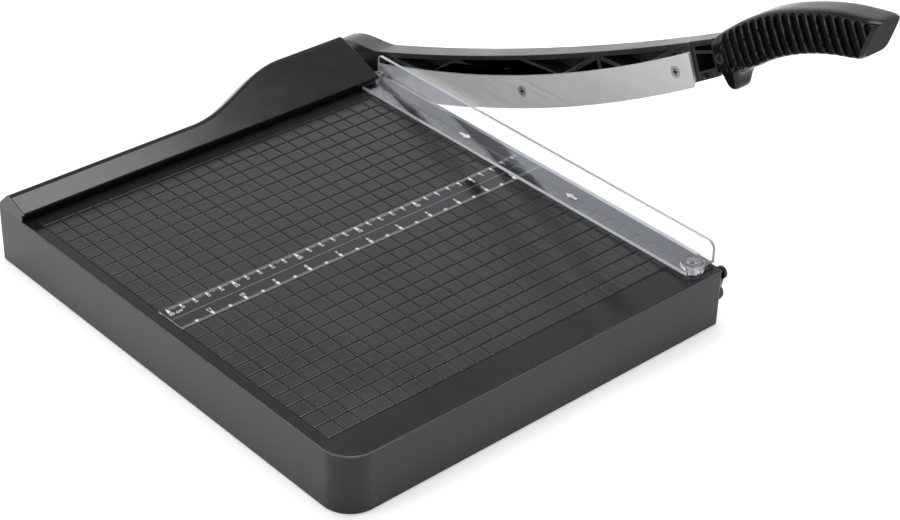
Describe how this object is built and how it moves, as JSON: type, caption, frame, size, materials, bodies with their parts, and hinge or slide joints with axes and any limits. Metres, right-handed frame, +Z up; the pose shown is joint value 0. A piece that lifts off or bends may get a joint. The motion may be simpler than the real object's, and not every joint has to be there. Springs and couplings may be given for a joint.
{
  "type": "paper cutter",
  "caption": "Guillotine paper cutter: ruled bed with back fence, swinging arm with curved blade and ribbed grip, clear spring-lifted paper clamp, and safety latch.",
  "frame": {"origin": "on the table, under the middle of the base, between its front face and the fence's back wall", "axes": "+Z up from the table, +Y from the front to the fence, +X towards the cutting arm"},
  "size_m": [0.3418, 0.4906, 0.2503],
  "materials": {
    "base_plastic": "satin charcoal moulding",
    "cover_plastic": "matte",
    "fence_plastic": "satin, fine grain",
    "foot_rubber": "matte",
    "ruler_print": "gloss with white scales",
    "blade_steel": "brushed",
    "zinc_steel": "bright zinc",
    "spring_steel": "bright",
    "bush_bronze": "sintered",
    "arm_plastic": "satin",
    "handle_plastic": "semi-gloss",
    "clear_plastic": "clear",
    "latch_black": "satin black"
  },
  "bodies": {
    "base": {"base_shell": "base_plastic", "bottom_cover": "cover_plastic", "bottom_cover_screws": "zinc_steel", "rubber_foot_front_left": "foot_rubber", "rubber_foot_front_right": "foot_rubber", "rubber_foot_rear_left": "foot_rubber", "rubber_foot_rear_right": "foot_rubber", "fence_cover": "fence_plastic", "fence_end_cap": "fence_plastic", "fence_cover_screws": "zinc_steel", "ruler_strip": "ruler_print", "counter_blade": "blade_steel", "counter_blade_screws": "zinc_steel", "pivot_bracket": "zinc_steel", "pivot_bracket_screws": "zinc_steel", "pivot_bolt": "zinc_steel", "pivot_spacer": "zinc_steel", "pivot_washers": "zinc_steel", "disc_spring": "spring_steel", "pivot_lock_nut": "zinc_steel", "clamp_guide_screws": "zinc_steel", "clamp_spring_front": "spring_steel", "clamp_spring_rear": "spring_steel", "latch_screw": "latch_black"},
    "arm": {"arm_beam": "arm_plastic", "blade": "blade_steel", "blade_screws": "zinc_steel", "pivot_bush": "bush_bronze", "handle": "handle_plastic", "handle_screw": "zinc_steel", "latch_pin": "zinc_steel"},
    "clamp": {"paper_clamp": "clear_plastic"},
    "latch": {"safety_latch": "latch_black"}
  },
  "joints": [
    {"name": "arm_hinge", "type": "hinge", "parent": "base", "child": "arm", "pos_m": [0.1677, 0.1905, 0.036], "axis": [-1, 0, 0], "range_deg": [-22, 45]},
    {"name": "clamp_press", "type": "slide", "parent": "base", "child": "clamp", "axis": [0, 0, -1], "range_m": [0, 0.0014], "stiffness_N_per_m": 800, "springref_m": -0.004, "deforming": ["clamp_spring_front", "clamp_spring_rear"]},
    {"name": "latch_turn", "type": "hinge", "parent": "base", "child": "latch", "pos_m": [0.15815, -0.173, 0.021], "axis": [-1, 0, 0], "range_deg": [0, 25]}
  ]
}
